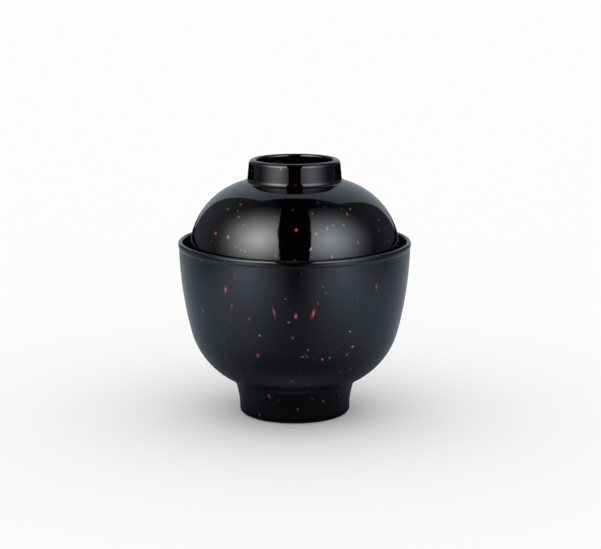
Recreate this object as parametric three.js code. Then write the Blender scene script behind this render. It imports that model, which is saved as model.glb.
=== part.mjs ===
// Lidded soup bowl, moulded in two pieces: a deep bowl on a tall foot ring, and a domed lid that drops
// into the bowl's mouth and carries a grip ring, on which it also stands when it is set down upside down.
// Millimetres, +Z up. The origin is the centre of the face that the foot ring rests on.
// Both pieces are turned forms: each is one closed outline of tangent arcs, revolved about Z.

import * as THREE from "three";

// Bowl, outside
const rimRadius = 47.5; // outside of the band round the lip
const bowlHeight = 71.8; // resting face to the top of the lip
const sideArc = 151; // radius of the long arc of the side wall
const bellyArc = 31; // radius of the belly that turns the side wall in under the bowl
const undersideHeight = 11.2; // resting face to the flat underside within the foot ring

// Bowl, inside and lip
const bowlWall = 3.4; // side, belly and floor
const lipOuterRound = 1;
const lipInnerRound = 0.8;
const bandOverhang = 0.25; // how far the band round the lip stands out from the side wall
const bandDepth = 1.8; // top of the lip down to where the band starts to turn in
const bandRound = 1.7; // underside of the band
const bandFillet = 1.5; // hollow between the band and the side wall

// Foot ring
const footRadius = 22.8; // outside, where the ring is slimmest
const footWall = 2.8;
const footOuterRound = 1.4; // lower edge, outside
const footInnerRound = 0.6;
const footFlareArc = 32; // radius of the hollow curve that widens the ring up to the belly
const footFlareStart = 2; // height at which that curve leaves the upright
const footOuterFillet = 1.2; // between the ring and the belly
const footInnerFillet = 1.6; // between the ring and the underside

// Seat of the lid in the mouth
const seatDepth = 11.8; // top of the lip down to the ring of the bowl's wall that holds the lid
const seatClearance = 0.3;

// Lid
const lidWall = 2.4;
const skirtHeight = 6.9; // upright band between the lid's edge and its shoulder
const shoulderArc = 29.8;
const crownArc = 78.8;
const gripHeight = 6.47; // top of the dome to the top of the grip ring
const gripRadius = 18.45; // outside of the grip ring, at its top
const gripWall = 2.8; // at its top
const gripDraft = THREE.MathUtils.degToRad(5.3); // slope of the ring's outside
const gripOuterRound = 1.7; // upper edge, outside
const gripInnerRound = 1;
const gripOuterFillet = 2; // between the ring and the dome
const gripInnerFillet = 1.6;

// Facets
const sides = 64; // round the axis
const facetError = 0.06; // most that a straight facet cuts off an arc
const samePoint = 1e-4; // arcs that meet closer than this share one point

// An outline lies in the half plane of radius (x) and height (y), and a circle in it guides an arc.
const RIGHT = 0;
const UP = Math.PI / 2;
const LEFT = Math.PI;
const DOWN = -Math.PI / 2;

function point(radius, height) {
  return new THREE.Vector2(radius, height);
}

function circle(centre, radius) {
  return { centre, radius };
}

// The circle round the same centre, smaller by a wall's thickness.
function inset(outer, wall) {
  return circle(outer.centre, outer.radius - wall);
}

function direction(from, to) {
  return Math.atan2(to.y - from.y, to.x - from.x);
}

// Where a circle reaches furthest from the axis at a height.
function radiusAt({ centre, radius }, height) {
  return centre.x + Math.sqrt(radius ** 2 - (height - centre.y) ** 2);
}

// The circle of a given radius, with its centre at a given height, that touches a larger one from within.
function nestedCircle(outer, radius, height) {
  return circle(point(radiusAt(inset(outer, radius), height), height), radius);
}

// The first place where a ray from a point meets a circle.
function rayMeetsCircle(start, heading, { centre, radius }) {
  const along = point(Math.cos(heading), Math.sin(heading));
  const toCentre = centre.clone().sub(start);
  const nearest = toCentre.dot(along);
  const offAxis = toCentre.cross(along);
  return start.clone().addScaledVector(along, nearest - Math.sqrt(radius ** 2 - offAxis ** 2));
}

// The lower of the two places where two circles meet.
function lowerMeeting(a, b) {
  const apart = a.centre.distanceTo(b.centre);
  const along = (apart ** 2 + a.radius ** 2 - b.radius ** 2) / (2 * apart);
  const across = Math.sqrt(a.radius ** 2 - along ** 2);
  const unit = b.centre.clone().sub(a.centre).normalize();
  const foot = a.centre.clone().addScaledVector(unit, along);
  const normal = point(-unit.y, unit.x);
  const meetings = [foot.clone().addScaledVector(normal, across), foot.addScaledVector(normal, -across)];
  return meetings.sort((p, q) => p.y - q.y)[0];
}

// Points along an arc, as far apart as the facet error lets them be.
function arc({ centre, radius }, from, to, clockwise = false) {
  const sweep = THREE.MathUtils.euclideanModulo(clockwise ? from - to : to - from, 2 * Math.PI);
  const step = 2 * Math.acos(1 - Math.min(facetError / radius, 1));
  const curve = new THREE.EllipseCurve(centre.x, centre.y, radius, radius, from, to, clockwise);
  return curve.getPoints(Math.ceil(sweep / step));
}

function revolve(...stretches) {
  const outline = stretches.flat();
  const distinct = outline.filter((p, i) => i === 0 || p.distanceTo(outline[i - 1]) > samePoint);
  return new THREE.LatheGeometry(distinct, sides).rotateX(Math.PI / 2);
}

// The bowl's side is one long arc, upright at the top of the lip, and the belly nests in it.
const side = circle(point(rimRadius - bandOverhang - sideArc, bowlHeight), sideArc);
const belly = nestedCircle(side, bellyArc, undersideHeight + bellyArc);
const innerSide = inset(side, bowlWall);
const innerBelly = inset(belly, bowlWall);
const sideMeetsBelly = direction(side.centre, belly.centre);

// The lid rests where the inside of the bowl's wall has narrowed to its edge.
const seatHeight = bowlHeight - seatDepth;
const seat = point(radiusAt(innerSide, seatHeight), seatHeight);
const lidRadius = seat.x - seatClearance;

function footRing() {
  const inside = footRadius - footWall;
  const underFillet = circle(
    rayMeetsCircle(point(inside - footInnerFillet, 0), UP, inset(belly, -footInnerFillet)),
    footInnerFillet,
  );
  const innerEdge = circle(point(inside + footInnerRound, footInnerRound), footInnerRound);
  const outerEdge = circle(point(footRadius - footOuterRound, footOuterRound), footOuterRound);
  const flare = circle(point(footRadius + footFlareArc, footFlareStart), footFlareArc);
  const bellyFillet = circle(
    lowerMeeting(inset(belly, -footOuterFillet), inset(flare, footOuterFillet)),
    footOuterFillet,
  );
  const flareEnd = direction(flare.centre, bellyFillet.centre);
  return {
    bellyStart: direction(belly.centre, bellyFillet.centre),
    outline: [
      ...arc(belly, DOWN, direction(belly.centre, underFillet.centre)),
      ...arc(underFillet, direction(underFillet.centre, belly.centre), RIGHT, true),
      ...arc(innerEdge, LEFT, DOWN),
      ...arc(outerEdge, DOWN, RIGHT),
      ...arc(flare, LEFT, flareEnd, true),
      ...arc(bellyFillet, flareEnd, direction(bellyFillet.centre, belly.centre), true),
    ],
  };
}

function bowlGeometry() {
  const foot = footRing();
  const band = circle(point(rimRadius - bandRound, bowlHeight - bandDepth), bandRound);
  const hollow = circle(lowerMeeting(inset(side, -bandFillet), inset(band, -bandFillet)), bandFillet);
  const lipOuter = circle(point(rimRadius - lipOuterRound, bowlHeight - lipOuterRound), lipOuterRound);
  const lipInner = circle(point(lipOuter.centre.x, bowlHeight - lipInnerRound), lipInnerRound);
  return revolve(
    point(0, undersideHeight),
    foot.outline,
    arc(belly, foot.bellyStart, sideMeetsBelly),
    arc(side, sideMeetsBelly, direction(side.centre, hollow.centre)),
    arc(hollow, direction(hollow.centre, side.centre), direction(hollow.centre, band.centre), true),
    arc(band, direction(band.centre, hollow.centre), RIGHT),
    arc(lipOuter, RIGHT, UP),
    arc(lipInner, UP, LEFT),
    arc(innerSide, direction(innerSide.centre, seat), sideMeetsBelly, true),
    arc(innerBelly, sideMeetsBelly, DOWN, true),
    point(0, undersideHeight + bowlWall),
  );
}

// The lid has its own frame, whose plane z = 0 is the ring of its edge that meets the seat.
const shoulder = circle(point(lidRadius - shoulderArc, skirtHeight), shoulderArc);
const crownDrop = Math.sqrt((crownArc - shoulderArc) ** 2 - shoulder.centre.x ** 2);
const crown = circle(point(0, skirtHeight - crownDrop), crownArc);
const crownMeetsShoulder = direction(crown.centre, shoulder.centre);
const domeTop = crown.centre.y + crownArc;

function gripRing() {
  const top = domeTop + gripHeight;
  const inside = gripRadius - gripWall;
  const downOutside = DOWN + gripDraft;
  const outerFillet = circle(
    rayMeetsCircle(
      point(gripRadius + gripOuterFillet * Math.cos(gripDraft), top + gripOuterFillet * Math.sin(gripDraft)),
      downOutside,
      inset(crown, -gripOuterFillet),
    ),
    gripOuterFillet,
  );
  const outsideAtEdge = gripRadius + gripOuterRound * Math.tan(gripDraft);
  const outerEdge = circle(
    point(outsideAtEdge - gripOuterRound / Math.cos(gripDraft), top - gripOuterRound),
    gripOuterRound,
  );
  const innerEdge = circle(point(inside + gripInnerRound, top - gripInnerRound), gripInnerRound);
  const innerFillet = circle(
    rayMeetsCircle(point(inside - gripInnerFillet, top), DOWN, inset(crown, -gripInnerFillet)),
    gripInnerFillet,
  );
  return {
    crownEnd: direction(crown.centre, outerFillet.centre),
    outline: [
      ...arc(outerFillet, direction(outerFillet.centre, crown.centre), gripDraft + LEFT, true),
      ...arc(outerEdge, gripDraft, UP),
      ...arc(innerEdge, UP, LEFT),
      ...arc(innerFillet, RIGHT, direction(innerFillet.centre, crown.centre), true),
      ...arc(crown, direction(crown.centre, innerFillet.centre), UP),
    ],
  };
}

function lidGeometry() {
  const grip = gripRing();
  const edge = circle(point(lidRadius - lidWall / 2, 0), lidWall / 2);
  return revolve(
    arc(inset(crown, lidWall), UP, crownMeetsShoulder, true),
    arc(inset(shoulder, lidWall), crownMeetsShoulder, RIGHT, true),
    arc(edge, LEFT, RIGHT),
    arc(shoulder, RIGHT, crownMeetsShoulder),
    arc(crown, crownMeetsShoulder, grip.crownEnd),
    grip.outline,
  );
}

const bowl = new THREE.Mesh(
  bowlGeometry(),
  new THREE.MeshStandardMaterial({ color: 0x17171a, roughness: 0.38, metalness: 0 }),
);
bowl.name = "bowl";

const lid = new THREE.Mesh(
  lidGeometry(),
  new THREE.MeshStandardMaterial({ color: 0x101013, roughness: 0.08, metalness: 0 }),
);
lid.name = "lid";
lid.position.z = seatHeight;

const soupBowl = new THREE.Group();
soupBowl.name = "lidded_soup_bowl";
soupBowl.add(bowl, lid);

export default soupBowl;
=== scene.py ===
import math
from collections import namedtuple

import bpy
from mathutils import Matrix, Vector


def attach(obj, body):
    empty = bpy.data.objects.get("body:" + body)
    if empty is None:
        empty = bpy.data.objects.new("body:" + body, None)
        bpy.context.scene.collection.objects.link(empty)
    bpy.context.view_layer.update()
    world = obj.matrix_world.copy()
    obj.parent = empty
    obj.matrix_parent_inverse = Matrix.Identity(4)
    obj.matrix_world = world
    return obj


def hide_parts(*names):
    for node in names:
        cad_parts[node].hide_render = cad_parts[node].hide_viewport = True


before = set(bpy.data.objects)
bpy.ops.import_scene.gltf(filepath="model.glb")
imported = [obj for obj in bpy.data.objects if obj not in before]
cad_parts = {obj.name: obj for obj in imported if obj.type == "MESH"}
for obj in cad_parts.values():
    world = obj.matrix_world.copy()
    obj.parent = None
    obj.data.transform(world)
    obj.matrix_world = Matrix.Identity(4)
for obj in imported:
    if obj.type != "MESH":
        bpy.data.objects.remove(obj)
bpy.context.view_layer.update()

# Bowl: deep and round, on a tall foot ring, moulded in one with it from black resin with red flecks.
# Its mould is turned, so the outline is a chain of arcs that run into each other. It is drawn arc by arc,
# from the underside round the foot and over the banded lip to the floor inside, and spun about the axis.
MM = 0.001
RIGHT = 0
UP = math.pi / 2
LEFT = math.pi
DOWN = -math.pi / 2
ANTICLOCKWISE = 1
CLOCKWISE = -1
Circle = namedtuple("Circle", "centre radius")
Arc = namedtuple("Arc", "circle start end turn", defaults=(ANTICLOCKWISE,))


def corner(radius, height):
    """A sharp point of an outline: an arc with no radius."""
    return Arc(Circle(Vector((radius, height)), 0), RIGHT, RIGHT)


def unit(angle):
    """The unit vector at an angle, in the half plane of radius and height."""
    return Vector((math.cos(angle), math.sin(angle)))


def heading(start, end):
    """The angle of the line from one point to another."""
    return math.atan2(end.y - start.y, end.x - start.x)


def inset(circle, wall):
    """The circle round the same centre, smaller by a wall's thickness."""
    return Circle(circle.centre, circle.radius - wall)


def reach(circle, height):
    """How far from the axis a circle reaches at a height."""
    return circle.centre.x + math.sqrt(circle.radius**2 - (height - circle.centre.y) ** 2)


def nested(circle, radius, height):
    """A smaller circle, with its centre at a height, that touches this one from within."""
    return Circle(Vector((reach(inset(circle, radius), height), height)), radius)


def ray_meets(circle, start, angle):
    """The first place where a ray from a point meets a circle."""
    to_centre = circle.centre - start
    past = to_centre.cross(unit(angle))
    return start + unit(angle) * (to_centre.dot(unit(angle)) - math.sqrt(circle.radius**2 - past**2))


def lower_meeting(first, second):
    """The lower of the two places where two circles meet."""
    apart = second.centre - first.centre
    along = (apart.length_squared + first.radius**2 - second.radius**2) / (2 * apart.length)
    across = Vector((-apart.y, apart.x)).normalized() * math.sqrt(first.radius**2 - along**2)
    middle = first.centre + apart.normalized() * along
    return min(middle + across, middle - across, key=lambda place: place.y)


def turned_piece(name, arcs):
    """Draws arcs end to end, with a straight line where two don't meet, and spins them into a round piece."""
    arc_error = 0.0015 * MM
    widest_step = math.radians(4)
    edge_hold = 0.1 * MM
    same_place = 0.00001 * MM
    turn_steps = 192
    bpy.ops.object.select_all(action="DESELECT")
    bpy.ops.mesh.primitive_plane_add(size=MM)
    piece = bpy.context.object
    piece.name = piece.data.name = name
    bpy.ops.object.mode_set(mode="EDIT")
    bpy.ops.mesh.merge(type="CENTER")
    pen = Vector((0, 0))
    for count, arc in enumerate(arcs):
        line = arc.circle.centre + unit(arc.start) * arc.circle.radius - pen
        if count == 0:
            bpy.ops.transform.translate(value=(line.x, 0, line.y))
        elif line.length > same_place:
            end = line.normalized() * min(edge_hold, line.length / 3)
            for stretch in (end, line - end * 2, end):
                bpy.ops.mesh.extrude_region_move(TRANSFORM_OT_translate={"value": (stretch.x, 0, stretch.y)})
        sweep = (arc.end - arc.start) * arc.turn % (2 * math.pi)
        if sweep > 0:
            step = min(2 * math.acos(1 - arc_error / arc.circle.radius), widest_step)
            bpy.ops.mesh.spin(
                steps=math.ceil(sweep / step),
                angle=sweep,
                center=(arc.circle.centre.x, 0, arc.circle.centre.y),
                axis=(0, arc.turn, 0),
            )
        pen = arc.circle.centre + unit(arc.end) * arc.circle.radius
    bpy.ops.mesh.select_all(action="SELECT")
    bpy.ops.mesh.spin(steps=turn_steps, angle=2 * math.pi, center=(0, 0, 0), axis=(0, 0, 1))
    bpy.ops.mesh.select_all(action="SELECT")
    bpy.ops.mesh.remove_doubles(threshold=0.001 * MM)
    bpy.ops.mesh.normals_make_consistent(inside=False)
    bpy.ops.object.mode_set(mode="OBJECT")
    bpy.ops.object.shade_smooth()
    return piece


rim_radius = 47.5 * MM
bowl_height = 71.8 * MM
bowl_wall = 3.4 * MM
side_arc = 151 * MM
belly_arc = 31 * MM
underside_height = 11.2 * MM
lip_outer_round = 1 * MM
lip_inner_round = 0.8 * MM
band_overhang = 0.25 * MM
band_depth = 1.8 * MM
band_round = 1.7 * MM
band_fillet = 1.5 * MM
foot_radius = 22.8 * MM
foot_wall = 2.8 * MM
foot_outer_round = 1.4 * MM
foot_inner_round = 0.6 * MM
foot_flare_arc = 32 * MM
foot_flare_start = 2 * MM
foot_outer_fillet = 1.2 * MM
foot_inner_fillet = 1.6 * MM
seat_depth = 11.8 * MM
seat_clearance = 0.3 * MM

side = Circle(Vector((rim_radius - band_overhang - side_arc, bowl_height)), side_arc)
belly = nested(side, belly_arc, underside_height + belly_arc)
inner_side = inset(side, bowl_wall)
inner_belly = inset(belly, bowl_wall)
side_meets_belly = heading(side.centre, belly.centre)
seat_height = bowl_height - seat_depth
seat = Vector((reach(inner_side, seat_height), seat_height))
band = Circle(Vector((rim_radius - band_round, bowl_height - band_depth)), band_round)
hollow = Circle(lower_meeting(inset(side, -band_fillet), inset(band, -band_fillet)), band_fillet)
lip_outer = Circle(Vector((rim_radius - lip_outer_round, bowl_height - lip_outer_round)), lip_outer_round)
lip_inner = Circle(Vector((lip_outer.centre.x, bowl_height - lip_inner_round)), lip_inner_round)
foot_inside = foot_radius - foot_wall
under_start = Vector((foot_inside - foot_inner_fillet, 0))
under_fillet = Circle(ray_meets(inset(belly, -foot_inner_fillet), under_start, UP), foot_inner_fillet)
foot_inner_edge = Circle(Vector((foot_inside + foot_inner_round, foot_inner_round)), foot_inner_round)
foot_outer_edge = Circle(Vector((foot_radius - foot_outer_round, foot_outer_round)), foot_outer_round)
flare = Circle(Vector((foot_radius + foot_flare_arc, foot_flare_start)), foot_flare_arc)
flare_corner = lower_meeting(inset(belly, -foot_outer_fillet), inset(flare, foot_outer_fillet))
flare_end = heading(flare.centre, flare_corner)
belly_fillet = Circle(flare_corner, foot_outer_fillet)
bowl = turned_piece(
    "bowl_shell",
    [
        corner(0, underside_height),
        Arc(belly, DOWN, heading(belly.centre, under_fillet.centre)),
        Arc(under_fillet, heading(under_fillet.centre, belly.centre), RIGHT, CLOCKWISE),
        Arc(foot_inner_edge, LEFT, DOWN),
        Arc(foot_outer_edge, DOWN, RIGHT),
        Arc(flare, LEFT, flare_end, CLOCKWISE),
        Arc(belly_fillet, flare_end, heading(flare_corner, belly.centre), CLOCKWISE),
        Arc(belly, heading(belly.centre, flare_corner), side_meets_belly),
        Arc(side, side_meets_belly, heading(side.centre, hollow.centre)),
        Arc(hollow, heading(hollow.centre, side.centre), heading(hollow.centre, band.centre), CLOCKWISE),
        Arc(band, heading(band.centre, hollow.centre), RIGHT),
        Arc(lip_outer, RIGHT, UP),
        Arc(lip_inner, UP, LEFT),
        Arc(inner_side, heading(inner_side.centre, seat), side_meets_belly, CLOCKWISE),
        Arc(inner_belly, side_meets_belly, DOWN, CLOCKWISE),
        corner(0, underside_height + bowl_wall),
    ],
)


def feed(tree, socket, value):
    """Links another node's output to a socket, or sets the socket's own value."""
    if isinstance(value, bpy.types.NodeSocket):
        tree.links.new(value, socket)
    else:
        socket.default_value = value


def shader_node(tree, kind, *values, inputs=(), **options):
    """Adds a node with its options. Values go to its inputs in order, and pairs in inputs go by name."""
    made = tree.nodes.new(kind)
    for name, option in options.items():
        setattr(made, name, option)
    for socket, value in zip(made.inputs, values):
        feed(tree, socket, value)
    for name, value in inputs:
        feed(tree, made.inputs[name], value)
    return made


def sum_of(tree, operation, *values):
    """One step of arithmetic."""
    return shader_node(tree, "ShaderNodeMath", *values, operation=operation).outputs["Value"]


def eased(tree, value, start, end, low=0.0, high=1.0):
    """Eases from a low to a high level while a value goes from start to end."""
    levels = (value, start, end, low, high)
    ramp = shader_node(tree, "ShaderNodeMapRange", *levels, interpolation_type="SMOOTHSTEP")
    return ramp.outputs["Result"]


def mixed(tree, amount, first, second):
    """The first colour, with an amount of the second in its place."""
    blend = shader_node(tree, "ShaderNodeMix", amount, data_type="RGBA")
    feed(tree, blend.inputs[6], first)
    feed(tree, blend.inputs[7], second)
    return blend.outputs[2]


def noise(tree, place, feature, detail=2.0):
    """Noise whose features have a size in metres."""
    pairs = (("Vector", place), ("Scale", 1 / feature), ("Detail", detail))
    return shader_node(tree, "ShaderNodeTexNoise", inputs=pairs).outputs


def shared_effect(name, inputs, *outputs):
    """Starts a node group that both finishes use, and gives it with its inputs and its outputs."""
    group = bpy.data.node_groups.new(name, "ShaderNodeTree")
    for label, kind in inputs.items():
        group.interface.new_socket(label, in_out="INPUT", socket_type=kind)
    for label in outputs:
        group.interface.new_socket(label, in_out="OUTPUT", socket_type="NodeSocketFloat")
    return group, group.nodes.new("NodeGroupInput").outputs, group.nodes.new("NodeGroupOutput").inputs


def use_effect(tree, group, *values):
    """The outputs of a shared node group in a finish."""
    return shader_node(tree, "ShaderNodeGroup", *values, node_tree=group).outputs


def spread(tree, away, edge):
    """How much of a fleck's halo and of its core shows at a distance from its middle."""
    core_edge = 0.42
    core_full = 0.05
    part = sum_of(tree, "DIVIDE", away, edge)
    halo = eased(tree, part, 1.0, 0.0)
    return sum_of(tree, "MULTIPLY", halo, halo), eased(tree, part, core_edge, core_full)


VECTOR = "NodeSocketVector"
FLOAT = "NodeSocketFloat"
one_fleck, given, result = shared_effect(
    "one_fleck",
    {
        "Place": VECTOR,
        "Centre": VECTOR,
        "Turn": VECTOR,
        "Size": VECTOR,
        "Brightness": FLOAT,
        "Paleness": FLOAT,
    },
    "Fleck",
    "Core",
)
fleck_lie = (given["Place"], given["Centre"], given["Turn"], given["Size"])
fleck_place = shader_node(one_fleck, "ShaderNodeMapping", *fleck_lie, vector_type="TEXTURE").outputs["Vector"]
from_centre = shader_node(one_fleck, "ShaderNodeVectorMath", fleck_place, operation="LENGTH").outputs["Value"]
halo, core = spread(one_fleck, from_centre, 1.0)
feed(one_fleck, result["Fleck"], sum_of(one_fleck, "MULTIPLY", halo, given["Brightness"]))
feed(one_fleck, result["Core"], sum_of(one_fleck, "MULTIPLY", core, given["Paleness"]))

smallest_strewn = 0.45
dimmest_strewn = 0.12
strewn_paleness = 0.6
strewn_flecks, given, result = shared_effect(
    "strewn_flecks", {"Place": VECTOR, "Spacing": VECTOR, "Share": FLOAT, "Reach": FLOAT}, "Fleck", "Core"
)
cells = shader_node(
    strewn_flecks, "ShaderNodeVectorMath", given["Place"], given["Spacing"], operation="DIVIDE"
)
grains = shader_node(
    strewn_flecks, "ShaderNodeTexVoronoi", inputs=(("Vector", cells.outputs["Vector"]), ("Scale", 1.0))
)
chance = shader_node(strewn_flecks, "ShaderNodeSeparateColor", grains.outputs["Color"]).outputs
size_here = eased(strewn_flecks, chance["Green"], 0.0, 1.0, smallest_strewn)
edge_here = sum_of(strewn_flecks, "MULTIPLY", size_here, given["Reach"])
halo, core = spread(strewn_flecks, grains.outputs["Distance"], edge_here)
present = sum_of(strewn_flecks, "LESS_THAN", chance["Red"], given["Share"])
light_here = eased(strewn_flecks, chance["Blue"], 0.0, 1.0, dimmest_strewn)
brightness = sum_of(strewn_flecks, "MULTIPLY", present, light_here)
feed(strewn_flecks, result["Fleck"], sum_of(strewn_flecks, "MULTIPLY", halo, brightness))
feed(strewn_flecks, result["Core"], sum_of(strewn_flecks, "MULTIPLY", core, strewn_paleness))

rub_feature = 2.2 * MM
rub_detail = 4.0
edge_wear, given, result = shared_effect(
    "edge_wear", {"Place": VECTOR, "Height": FLOAT, "Spread": FLOAT}, "Wear", "Polish"
)
level = shader_node(edge_wear, "ShaderNodeSeparateXYZ", given["Place"]).outputs["Z"]
off_edge = sum_of(edge_wear, "ABSOLUTE", sum_of(edge_wear, "SUBTRACT", level, given["Height"]))
off_edge = sum_of(edge_wear, "DIVIDE", off_edge, given["Spread"])
rubbed = eased(edge_wear, noise(edge_wear, given["Place"], rub_feature, rub_detail)["Fac"], 0.45, 0.7)
feed(edge_wear, result["Wear"], sum_of(edge_wear, "MULTIPLY", eased(edge_wear, off_edge, 0.4, 0.1), rubbed))
feed(edge_wear, result["Polish"], eased(edge_wear, off_edge, 1.0, 0.8))

Fleck = namedtuple("Fleck", "azimuth height length width tilt brightness paleness", defaults=(0.42,))


def flecked_resin(name, black, roughness, grain, flecks, pale_flecks, circle_at, worn_edges):
    """Black resin: flecks at known places in front, others strewn at random, fine grain and rubbed edges."""
    deep_red = (0.43, 0.004, 0.015, 1)
    pink = (0.47, 0.45, 0.5, 1)
    pale = (0.75, 0.71, 0.8, 1)
    grey = (0.3, 0.32, 0.34, 1)
    rubbed_black = (0.022, 0.022, 0.024, 1)
    fleck_depth = 2.5 * MM
    wear_spread = 2.8 * MM
    wear_amount = 0.6
    polish_amount = 0.6
    drift_feature = 1.4 * MM
    drift_reach = (0.9 * MM, 0.9 * MM, 0.9 * MM)
    noise_middle = (0.5, 0.5, 0.5)
    front_edge = -0.5
    side_start = -0.35
    strewn_spacing = (4.6 * MM, 4.6 * MM, 9 * MM)
    strewn_share = 0.9
    strewn_reach = 0.32
    speck_spacing = (3.6 * MM, 3.6 * MM, 4.4 * MM)
    speck_share = 0.85
    speck_reach = 0.15
    red_halo = 0.6 * MM
    pale_halo = 0.35 * MM
    patch_feature = 14 * MM
    smoothest = roughness * 0.92
    roughest = roughness * 1.08
    grain_depth = grain * 0.01
    grain_strength = 0.5
    material = bpy.data.materials.new(name)
    material.use_nodes = True
    tree = material.node_tree
    surface = tree.nodes["Principled BSDF"]
    place = shader_node(tree, "ShaderNodeTexCoord").outputs["Object"]
    drift = noise(tree, place, drift_feature)["Color"]
    drift = shader_node(
        tree, "ShaderNodeVectorMath", drift, noise_middle, operation="SUBTRACT"
    ).outputs["Vector"]
    ragged = shader_node(
        tree, "ShaderNodeVectorMath", drift, drift_reach, place, operation="MULTIPLY_ADD"
    ).outputs["Vector"]

    def all_of(known, halo):
        """Every fleck of a list, and its core. Each lies flat in the surface at its azimuth and height."""
        amount = core = 0.0
        for fleck in known:
            height = fleck.height * MM
            circle = circle_at(height)
            turn = math.radians(fleck.azimuth)
            slope = math.asin((height - circle.centre.y) / circle.radius)
            lie = Matrix.Rotation(turn, 3, "Z") @ Matrix.Rotation(-slope, 3, "X")
            lie = lie @ Matrix.Rotation(math.radians(fleck.tilt), 3, "Y")
            radius = reach(circle, height)
            centre = (radius * math.sin(turn), -radius * math.cos(turn), height)
            half_size = (fleck.width * MM / 2 + halo, fleck_depth, fleck.length * MM / 2 + halo)
            shade = (fleck.brightness, fleck.paleness)
            spot = use_effect(tree, one_fleck, ragged, centre, lie.to_euler(), half_size, *shade)
            amount = sum_of(tree, "MAXIMUM", amount, spot["Fleck"])
            core = sum_of(tree, "MAXIMUM", core, spot["Core"])
        return amount, core

    x, y, _ = shader_node(tree, "ShaderNodeSeparateXYZ", place).outputs
    squares = (sum_of(tree, "MULTIPLY", x, x), sum_of(tree, "MULTIPLY", y, y))
    off_axis = sum_of(tree, "SQRT", sum_of(tree, "ADD", *squares))
    past_front = eased(tree, sum_of(tree, "DIVIDE", y, off_axis), front_edge, side_start)
    strewn = use_effect(tree, strewn_flecks, ragged, strewn_spacing, strewn_share, strewn_reach)
    specks = use_effect(tree, strewn_flecks, place, speck_spacing, speck_share, speck_reach)
    front, front_core = all_of(flecks, red_halo)
    reds = sum_of(tree, "MAXIMUM", front, sum_of(tree, "MULTIPLY", strewn["Fleck"], past_front))
    red = mixed(tree, sum_of(tree, "MAXIMUM", front_core, strewn["Core"]), deep_red, pink)
    pales, _ = all_of(pale_flecks, pale_halo)
    wear = polish = 0.0
    for height in worn_edges:
        handled = use_effect(tree, edge_wear, place, height, wear_spread)
        wear = sum_of(tree, "MAXIMUM", wear, handled["Wear"])
        polish = sum_of(tree, "MAXIMUM", polish, handled["Polish"])
    colour = mixed(tree, sum_of(tree, "MULTIPLY", wear, wear_amount), black, rubbed_black)
    colour = mixed(tree, specks["Fleck"], colour, grey)
    colour = mixed(tree, reds, colour, red)
    colour = mixed(tree, pales, colour, pale)
    feed(tree, surface.inputs["Base Color"], colour)
    patches = eased(tree, noise(tree, place, patch_feature)["Fac"], 0.3, 0.7, smoothest, roughest)
    gloss = sum_of(tree, "MULTIPLY_ADD", polish, -polish_amount, 1.0)
    feed(tree, surface.inputs["Roughness"], sum_of(tree, "MULTIPLY", patches, gloss))
    bump = (
        ("Height", noise(tree, place, grain)["Fac"]),
        ("Distance", grain_depth),
        ("Strength", grain_strength),
    )
    feed(tree, surface.inputs["Normal"], shader_node(tree, "ShaderNodeBump", inputs=bump).outputs["Normal"])
    return material


def circle_of_bowl(height):
    """The circle that the outside of the bowl follows at a height."""
    if height < flare_corner.y:
        return Circle(Vector((0, height)), 2 * flare.centre.x - reach(flare, height))
    return belly if height < belly.centre.y + belly_arc * math.sin(side_meets_belly) else side


# Brightness of a fleck and paleness of its core, in a few judged steps.
faint = 0.15
dim = 0.35
clear = 0.55
bright = 0.85
red_core = 0.45
pink_core = 0.8
bowl_flecks = [
    Fleck(-35, 59, 4.5, 1.4, 0, bright, red_core),
    Fleck(-32, 52.5, 3, 1.2, 0, dim, red_core),
    Fleck(-23, 48, 2.4, 1.2, 0, dim, red_core),
    Fleck(-10, 51.5, 8, 0.8, -9, clear, red_core),
    Fleck(0.5, 50, 3.4, 1.6, 0, bright, red_core),
    Fleck(9, 51, 7, 1.3, 20, bright, red_core),
    Fleck(11, 55, 3, 0.6, 20, faint, pink_core),
    Fleck(-3, 47.5, 1.1, 1.1, 0, dim, pink_core),
    Fleck(-1, 41, 1.1, 1, 0, dim, pink_core),
    Fleck(-20, 33, 2, 1.8, 0, clear, red_core),
    Fleck(7, 36, 1.2, 1.2, 0, dim, pink_core),
    Fleck(4, 33, 1.1, 2, 0, dim, pink_core),
    Fleck(6.5, 33, 3.6, 0.6, -28, faint, pink_core),
    Fleck(15, 31.5, 2, 0.9, -15, clear, pink_core),
    Fleck(32, 35.5, 1.5, 1.4, 0, bright, pink_core),
    Fleck(29, 32.5, 1.5, 1.4, 0, dim, pink_core),
    Fleck(35, 25.5, 1.2, 1.2, 0, faint, pink_core),
    Fleck(28, 25, 1.2, 1, 0, faint, pink_core),
    Fleck(-2, 21.5, 1.6, 1.2, 0, faint, pink_core),
    Fleck(43, 59, 3.4, 1.1, -12, dim, pink_core),
    Fleck(-35, 23.5, 1.4, 1.2, 0, faint, pink_core),
    Fleck(-25, 11.5, 2.5, 1.2, -25, clear, red_core),
    Fleck(29, 9, 1.1, 1.2, 0, dim, pink_core),
    Fleck(-39, 2.5, 2, 0.9, 0, dim, red_core),
]
pale_bowl_flecks = [
    Fleck(19, 32, 1, 0.9, 0, dim),
    Fleck(-4.5, 57, 0.8, 0.8, 0, faint),
    Fleck(15, 59, 0.9, 0.8, 0, faint),
    Fleck(13.5, 61.5, 0.8, 0.8, 0, faint),
    Fleck(-18, 41.5, 0.9, 0.9, 0, dim),
    Fleck(29, 42.5, 0.9, 0.9, 0, dim),
    Fleck(3, 6.5, 0.8, 0.8, 0, faint),
    Fleck(-53, 48, 1.6, 1.2, 0, faint),
]
satin_black = (0.0008, 0.0009, 0.002, 1)
bowl_roughness = 0.22
bowl_grain = 0.35 * MM
bowl_worn = (bowl_height, 0.0)
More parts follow.
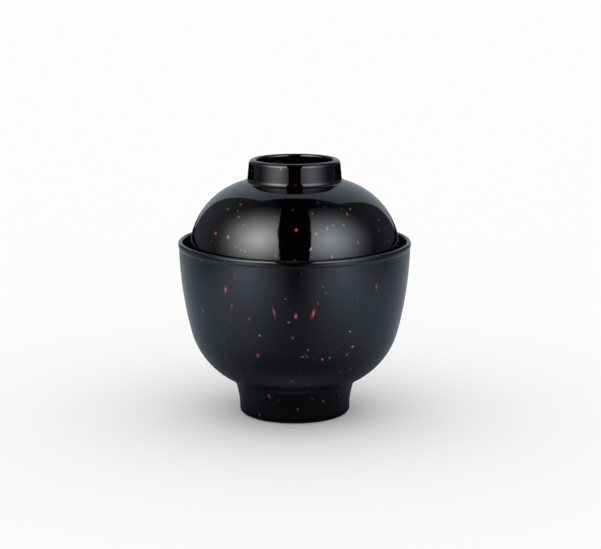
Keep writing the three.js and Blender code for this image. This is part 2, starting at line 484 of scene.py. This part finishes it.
bowl.data.materials.append(
    flecked_resin(
        "satin_black_resin",
        satin_black,
        bowl_roughness,
        bowl_grain,
        bowl_flecks,
        pale_bowl_flecks,
        circle_of_bowl,
        bowl_worn,
    )
)
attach(bowl, "bowl")
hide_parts("bowl")

# Lid: a dome with an upright skirt that drops into the bowl's mouth and rests on its narrowing wall.
# It is moulded in one with the grip ring on top, from the same flecked resin, and polished to a high gloss.
lid_wall = 2.4 * MM
skirt_height = 6.9 * MM
shoulder_arc = 29.8 * MM
crown_arc = 78.8 * MM
grip_height = 6.47 * MM
grip_radius = 18.45 * MM
grip_wall = 2.8 * MM
grip_draft = math.radians(5.3)
grip_outer_round = 1.7 * MM
grip_inner_round = 1 * MM
grip_outer_fillet = 2 * MM
grip_inner_fillet = 1.6 * MM

lid_radius = seat.x - seat_clearance
shoulder = Circle(Vector((lid_radius - shoulder_arc, seat_height + skirt_height)), shoulder_arc)
crown_drop = math.sqrt((crown_arc - shoulder_arc) ** 2 - shoulder.centre.x**2)
crown = Circle(Vector((0, shoulder.centre.y - crown_drop)), crown_arc)
crown_meets_shoulder = heading(crown.centre, shoulder.centre)
lid_edge = Circle(Vector((lid_radius - lid_wall / 2, seat_height)), lid_wall / 2)
grip_top = crown.centre.y + crown_arc + grip_height
grip_inside = grip_radius - grip_wall
grip_outer_start = Vector((grip_radius, grip_top)) + unit(grip_draft) * grip_outer_fillet
grip_outer_foot = ray_meets(inset(crown, -grip_outer_fillet), grip_outer_start, DOWN + grip_draft)
grip_inner_start = Vector((grip_inside - grip_inner_fillet, grip_top))
grip_inner_foot = ray_meets(inset(crown, -grip_inner_fillet), grip_inner_start, DOWN)
grip_outer_edge_x = grip_radius + grip_outer_round * (math.tan(grip_draft) - 1 / math.cos(grip_draft))
grip_outer_edge = Circle(Vector((grip_outer_edge_x, grip_top - grip_outer_round)), grip_outer_round)
grip_inner_edge_x = grip_inside + grip_inner_round
grip_inner_edge = Circle(Vector((grip_inner_edge_x, grip_top - grip_inner_round)), grip_inner_round)
lid = turned_piece(
    "lid_shell",
    [
        Arc(inset(crown, lid_wall), UP, crown_meets_shoulder, CLOCKWISE),
        Arc(inset(shoulder, lid_wall), crown_meets_shoulder, RIGHT, CLOCKWISE),
        Arc(lid_edge, LEFT, RIGHT),
        Arc(shoulder, RIGHT, crown_meets_shoulder),
        Arc(crown, crown_meets_shoulder, heading(crown.centre, grip_outer_foot)),
        Arc(
            Circle(grip_outer_foot, grip_outer_fillet),
            heading(grip_outer_foot, crown.centre),
            grip_draft + LEFT,
            CLOCKWISE,
        ),
        Arc(grip_outer_edge, grip_draft, UP),
        Arc(grip_inner_edge, UP, LEFT),
        Arc(
            Circle(grip_inner_foot, grip_inner_fillet),
            RIGHT,
            heading(grip_inner_foot, crown.centre),
            CLOCKWISE,
        ),
        Arc(crown, heading(crown.centre, grip_inner_foot), UP),
    ],
)


def circle_of_lid(height):
    """The circle that the outside of the lid follows at a height."""
    if height > grip_top - grip_height - grip_outer_fillet:
        return Circle(Vector((0, height)), grip_radius)
    return shoulder if height < shoulder.centre.y + shoulder_arc * math.sin(crown_meets_shoulder) else crown


lid_flecks = [
    Fleck(1, 82.5, 1.8, 1.5, 0, bright, red_core),
    Fleck(12, 81, 2.4, 1.7, 0, bright, red_core),
    Fleck(-50, 79, 2, 2.2, 0, bright, red_core),
    Fleck(-50, 88, 1.8, 2, 0, dim, pink_core),
    Fleck(-41.5, 90, 1.6, 1.5, 0, dim, pink_core),
    Fleck(-37, 86, 1.4, 1.3, 0, dim, pink_core),
    Fleck(-51.5, 76, 2, 1, 0, faint, pink_core),
    Fleck(-33, 75, 1.5, 1.3, 0, clear, pink_core),
    Fleck(-29.5, 74.2, 1.3, 1.3, 0, clear, pink_core),
    Fleck(-27, 74, 1.3, 1.3, 0, clear, pink_core),
    Fleck(-10, 73, 1.5, 1.2, 0, clear, pink_core),
    Fleck(0, 71.6, 1, 0.9, 0, faint, pink_core),
    Fleck(11.5, 88, 1.8, 1.5, 0, dim, pink_core),
    Fleck(17.5, 91.5, 1.6, 1.1, 0, faint, pink_core),
    Fleck(40, 88.5, 1.5, 1.4, 0, dim, pink_core),
    Fleck(35.5, 87, 1.5, 1.4, 0, clear, pink_core),
    Fleck(20, 72.3, 2, 1.6, 0, bright, pink_core),
    Fleck(33.5, 89, 1.1, 1, 0, faint, pink_core),
    Fleck(66, 87.5, 1.3, 1.3, 0, faint, red_core),
    Fleck(56, 79.5, 1.3, 1.1, 0, faint, pink_core),
    Fleck(1, 97, 1.3, 1.2, 0, dim, red_core),
]
pale_lid_flecks = [
    Fleck(-39.5, 78.5, 2, 1, 0, clear),
    Fleck(8.5, 75.5, 2.4, 0.8, 20, clear),
    Fleck(19, 82.5, 1.8, 0.7, 15, dim),
    Fleck(30, 83.5, 0.9, 0.8, 0, dim),
    Fleck(23, 83.5, 1, 0.8, 0, dim),
    Fleck(36.5, 76.5, 1.4, 0.7, 0, dim),
    Fleck(-17, 103, 1.4, 0.8, 0, dim),
]
gloss_black = (0.0006, 0.0006, 0.0012, 1)
lid_roughness = 0.06
lid_grain = 5 * MM
lid_worn = (grip_top,)
lid.data.materials.append(
    flecked_resin(
        "gloss_black_resin",
        gloss_black,
        lid_roughness,
        lid_grain,
        lid_flecks,
        pale_lid_flecks,
        circle_of_lid,
        lid_worn,
    )
)
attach(lid, "lid")
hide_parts("lid")

# Floor: a wide pale sheet under even white light from all round, so that only a soft shadow shows.
floor_size = 16
floor_white = (0.98, 0.98, 0.98, 1)
bpy.ops.object.select_all(action="DESELECT")
bpy.ops.mesh.primitive_plane_add(size=floor_size)
floor = bpy.context.object
floor.name = "floor"
floor_finish = bpy.data.materials.new("pale_floor")
floor_finish.use_nodes = True
floor_surface = floor_finish.node_tree.nodes["Principled BSDF"]
floor_surface.inputs["Base Color"].default_value = floor_white
floor_surface.inputs["Roughness"].default_value = 1
floor_surface.inputs["Specular IOR Level"].default_value = 0
floor.data.materials.append(floor_finish)
sky = bpy.data.worlds.new("studio_white")
sky.use_nodes = True
sky.node_tree.nodes["Background"].inputs["Color"].default_value = (1, 1, 1, 1)
bpy.context.scene.world = sky

# Studio cards: softboxes, a lit backdrop, lit cloth and dark card, which only reflections in the resin show.
# Each lamp glows brightest in its middle, as cloth does in front of a bulb, and fades out over its own size.
Lamp = namedtuple("Lamp", "x y width height turn strength fade", defaults=(1.5,))


def studio_card(name, size, colour, lamps=(), see_through=True, straight_out=False):
    """A card that only reflections see: black, or see-through, apart from the glow of the lamps on it.

    A glow that goes straight out is seen only by rays that meet the card nearly squarely.
    """
    beam_power = 12.0
    bpy.ops.object.select_all(action="DESELECT")
    bpy.ops.mesh.primitive_plane_add(size=size)
    card = bpy.context.object
    card.name = name
    finish = bpy.data.materials.new(name)
    finish.use_nodes = True
    tree = finish.node_tree
    tree.nodes.clear()
    place = shader_node(tree, "ShaderNodeTexCoord").outputs["Object"]
    level = 0.0
    for lamp in lamps:
        lie = ((lamp.x, lamp.y, 0), (0, 0, math.radians(lamp.turn)), (lamp.width, lamp.height, 1))
        spot = shader_node(tree, "ShaderNodeMapping", place, *lie, vector_type="TEXTURE").outputs["Vector"]
        away = shader_node(tree, "ShaderNodeVectorMath", spot, operation="LENGTH").outputs["Value"]
        fall = sum_of(tree, "POWER", math.exp(-1), sum_of(tree, "POWER", away, lamp.fade))
        level = sum_of(tree, "MULTIPLY_ADD", fall, lamp.strength, level)
    level = sum_of(tree, "MAXIMUM", level, 0.0)
    if straight_out:
        aside = shader_node(tree, "ShaderNodeLayerWeight", 0.5).outputs["Facing"]
        beam = sum_of(tree, "POWER", sum_of(tree, "SUBTRACT", 1.0, aside), beam_power)
        level = sum_of(tree, "MULTIPLY", level, beam)
    light = shader_node(tree, "ShaderNodeEmission", (*colour, 1), level).outputs["Emission"]
    if see_through:
        view_past = shader_node(tree, "ShaderNodeBsdfTransparent").outputs["BSDF"]
        light = shader_node(tree, "ShaderNodeAddShader", light, view_past).outputs["Shader"]
    shader_node(tree, "ShaderNodeOutputMaterial", light)
    card.data.materials.append(finish)
    show_in_reflections_only(card)
    return card


def show_in_reflections_only(card):
    """Hides a card from the camera and from soft light, so that only glossy reflections show it."""
    card.visible_camera = False
    card.visible_diffuse = False
    card.visible_transmission = False
    card.visible_volume_scatter = False
    card.visible_shadow = False


def face_bowl(card, azimuth, elevation, distance):
    """Stands a card at an azimuth from the camera's side and an elevation, in degrees, to face the lid."""
    aim_height = 85 * MM
    turn = math.radians(azimuth)
    rise = math.radians(elevation)
    toward = Vector((math.sin(turn) * math.cos(rise), -math.cos(turn) * math.cos(rise), math.sin(rise)))
    upright = Vector((0, toward.z, -toward.y)).normalized() * (1 if toward.y < 0 else -1)
    across = upright.cross(toward)
    middle = Vector((0, 0, aim_height)) + toward * distance
    card.matrix_world = Matrix.Translation(middle) @ Matrix((across, upright, toward)).transposed().to_4x4()


def cut_card(card, corners):
    """Gives a card other corners, in its own plane: two below and two above."""
    for point, (x, y) in zip(card.data.vertices, corners):
        point.co = (x, y, 0)


neutral = (0.98, 1.01, 1.02)
cool = (0.93, 0.99, 1.08)
bluish = (0.86, 0.97, 1.16)
left_softbox = studio_card("left_softbox", 4, neutral, [Lamp(0, 0, 0.7, 0.7, 0, 9)])
face_bowl(left_softbox, -45, 32, 1.5)
right_softbox = studio_card("right_softbox", 4, cool, [Lamp(0, 0, 0.75, 0.75, 0, 6)])
face_bowl(right_softbox, 42, 31, 1.5)
left_cloth = studio_card("left_cloth", 4.4, bluish, [Lamp(0, 0, 2.2, 2.2, 0, 0.2)])
face_bowl(left_cloth, -112, 20, 2)
right_cloth = studio_card("right_cloth", 4.4, bluish, [Lamp(0, 0, 2.2, 2.2, 0, 0.13)])
face_bowl(right_cloth, 112, 20, 2)
backdrop = studio_card("backdrop", 2, bluish, [Lamp(0, 2, 10, 10, 0, 0.55)])
cut_card(backdrop, [(-1, -0.1), (0.92, -0.1), (-2.5, 4.6), (1.7, 4.6)])
face_bowl(backdrop, 180, 0, 2)
front_card = studio_card("front_dark_card", 2, neutral, see_through=False)
cut_card(front_card, [(-0.3, -3), (0.3, -3), (-0.3, 3), (0.3, 3)])
face_bowl(front_card, 0, 32, 1)
# Floor card: a sheet just above the floor that only reflections show. It carries painted pools of light
# behind the bowl and to the front left and right. It also carries painted shade: a painted shadow round the
# foot and a dark strip in front.
painted_floor_light_and_shade = studio_card(
    "painted_floor_light_and_shade",
    12,
    bluish,
    [
        Lamp(0, 0.2, 0.6, 0.25, 0, 0.6),
        Lamp(-0.25, -0.25, 0.2, 0.12, 45, 2),
        Lamp(0.25, -0.25, 0.2, 0.12, -45, 1.8),
        Lamp(0, 0, 0.1, 0.1, 0, -0.5),
        Lamp(0, -0.2, 0.06, 0.2, 0, -0.5),
    ],
    see_through=False,
)
painted_floor_light_and_shade.location.z = 0.1 * MM
# Painted light: a small glowing disc under the foot. Only rays that meet it squarely see it, so it lightens
# the underside of the belly in reflections.
foot_glow = studio_card("foot_glow", 0.2, bluish, [Lamp(0, 0, 0.04, 0.04, 0, 0.3, 4)], straight_out=True)
foot_glow.location.z = 0.2 * MM
bpy.ops.object.select_all(action="DESELECT")
bpy.ops.mesh.primitive_uv_sphere_add(segments=64, ring_count=32, radius=6)
dark_room = bpy.context.object
dark_room.name = "dark_room"
dark_room.data.materials.append(front_card.data.materials[0])
show_in_reflections_only(dark_room)

# Camera: in front of the bowl and a little above the lid, with a long lens, turned a hair to the right.
camera_distance = 654 * MM
camera_height = 189.3 * MM
camera_down = math.radians(11.42)
camera_turn = math.radians(-0.21)
bpy.ops.object.camera_add(
    location=(0, -camera_distance, camera_height), rotation=(math.pi / 2 - camera_down, 0, camera_turn)
)
camera = bpy.context.object
camera.data.sensor_width = 36
camera.data.lens = 97.26
bpy.context.scene.camera = camera
bpy.context.scene.view_settings.view_transform = "Standard"
